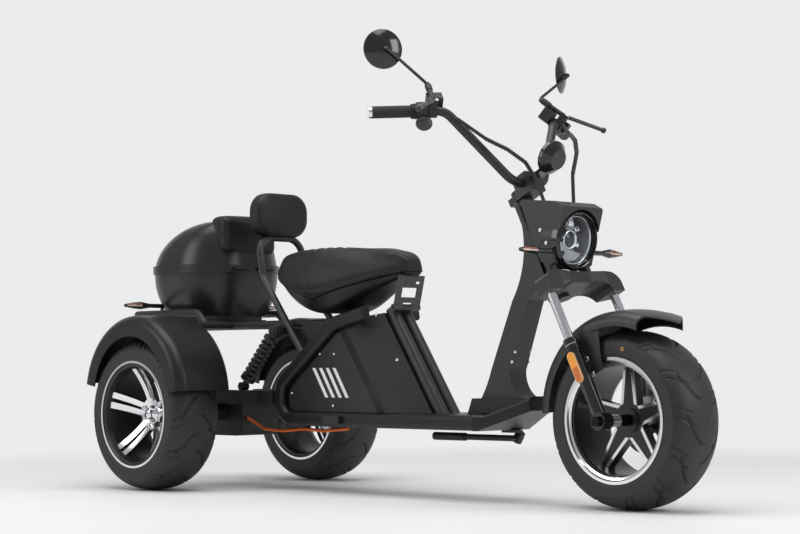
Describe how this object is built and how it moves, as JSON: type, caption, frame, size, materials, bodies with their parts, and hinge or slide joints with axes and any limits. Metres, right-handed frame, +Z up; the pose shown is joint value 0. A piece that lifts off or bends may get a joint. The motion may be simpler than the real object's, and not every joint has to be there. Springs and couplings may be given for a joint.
{
  "type": "three-wheel electric scooter",
  "caption": "Black three-wheel electric scooter with step-through floor, chopper handlebar, quilted seat, backrest and rear top box, on fat tyres",
  "frame": {"origin": "on the ground below the middle of the overall length, in the middle plane", "axes": "+X forward, +Y to the scooter's left, +Z up"},
  "size_m": [2.2804, 0.892, 1.3209],
  "materials": {
    "black_paint": "satin",
    "tyre_rubber": "matte",
    "black_alloy": "satin",
    "polished_alloy": "polished",
    "steel": "brushed",
    "chrome": "polished",
    "gloss_black": "glossy",
    "black_plastic": "satin",
    "black_leather": "grained",
    "grip_rubber": "matte",
    "lens": "clear",
    "mirror_glass": "polished",
    "amber": "glossy",
    "orange_cable": "satin",
    "silver_metal": "cast"
  },
  "bodies": {
    "frame": {"neck_column": "black_paint", "floorboard": "black_plastic", "battery_body": "black_plastic", "body_rims": "black_paint", "front_tubes": "black_paint", "backrest_hoop": "black_paint", "backrest_pad": "black_leather", "rear_rack": "black_paint", "rack_plate": "black_paint", "top_box_tub": "gloss_black", "rear_fender_right": "gloss_black", "rear_fender_left": "gloss_black", "rear_axle": "steel", "motor_block": "black_plastic", "swing_arm": "black_paint", "shock_absorbers": "black_paint", "rear_signals": "amber", "foot_pegs": "black_plastic", "motor_cable": "orange_cable", "stand_bracket": "black_paint"},
    "steering": {"fork_yoke": "black_paint", "fork_stanchions": "chrome", "fork_lowers": "gloss_black", "front_axle": "steel", "front_fender": "black_paint", "nacelle": "black_paint", "upper_tubes": "black_paint", "headlight_bezel": "gloss_black", "headlight_lens": "lens", "front_signals": "amber", "handlebar": "black_paint", "bar_clamp": "black_paint", "grips": "grip_rubber", "switchgear": "black_plastic", "master_cylinders": "black_plastic", "brake_levers": "silver_metal", "mirrors": "gloss_black", "mirror_glass": "mirror_glass", "dial": "gloss_black", "cable_wraps": "black_plastic", "reflectors": "amber", "brake_caliper": "silver_metal"},
    "front_wheel": {"front_tyre": "tyre_rubber", "front_rim": "black_alloy", "brake_disc": "steel"},
    "rear_wheel_right": {"rear_tyre_right": "tyre_rubber", "rear_rim_right": "polished_alloy"},
    "rear_wheel_left": {"rear_tyre_left": "tyre_rubber", "rear_rim_left": "polished_alloy"},
    "seat": {"seat_cushion": "black_leather", "seat_pan": "black_plastic", "seat_bracket": "black_paint"},
    "top_box_lid": {"top_box_lid": "gloss_black", "lid_pad": "black_leather"},
    "side_stand": {"side_stand": "black_paint"}
  },
  "joints": [
    {"name": "steer", "type": "hinge", "parent": "frame", "child": "steering", "pos_m": [0.58373, 0, 0.71506], "axis": [-0.454, 0, 0.891], "range_deg": [-40, 40]},
    {"name": "front_wheel_spin", "type": "hinge", "parent": "steering", "child": "front_wheel", "pos_m": [0.90175, 0, 0.2385], "axis": [0, 1, 0], "continuous": true},
    {"name": "rear_right_spin", "type": "hinge", "parent": "frame", "child": "rear_wheel_right", "pos_m": [-0.76825, -0.345, 0.2385], "axis": [0, 1, 0], "continuous": true},
    {"name": "rear_left_spin", "type": "hinge", "parent": "frame", "child": "rear_wheel_left", "pos_m": [-0.76825, 0.345, 0.2385], "axis": [0, 1, 0], "continuous": true},
    {"name": "seat_lift", "type": "hinge", "parent": "frame", "child": "seat", "pos_m": [0.02461, 0, 0.56075], "axis": [0, 1, 0], "range_deg": [0, 70]},
    {"name": "lid_open", "type": "hinge", "parent": "frame", "child": "top_box_lid", "pos_m": [-0.69225, 0, 0.70625], "axis": [0, 1, 0], "range_deg": [0, 28]},
    {"name": "stand_swing", "type": "hinge", "parent": "frame", "child": "side_stand", "pos_m": [0.40675, 0.078, 0.175], "axis": [0, -0.5981, -0.8014], "range_deg": [0, 115]}
  ]
}
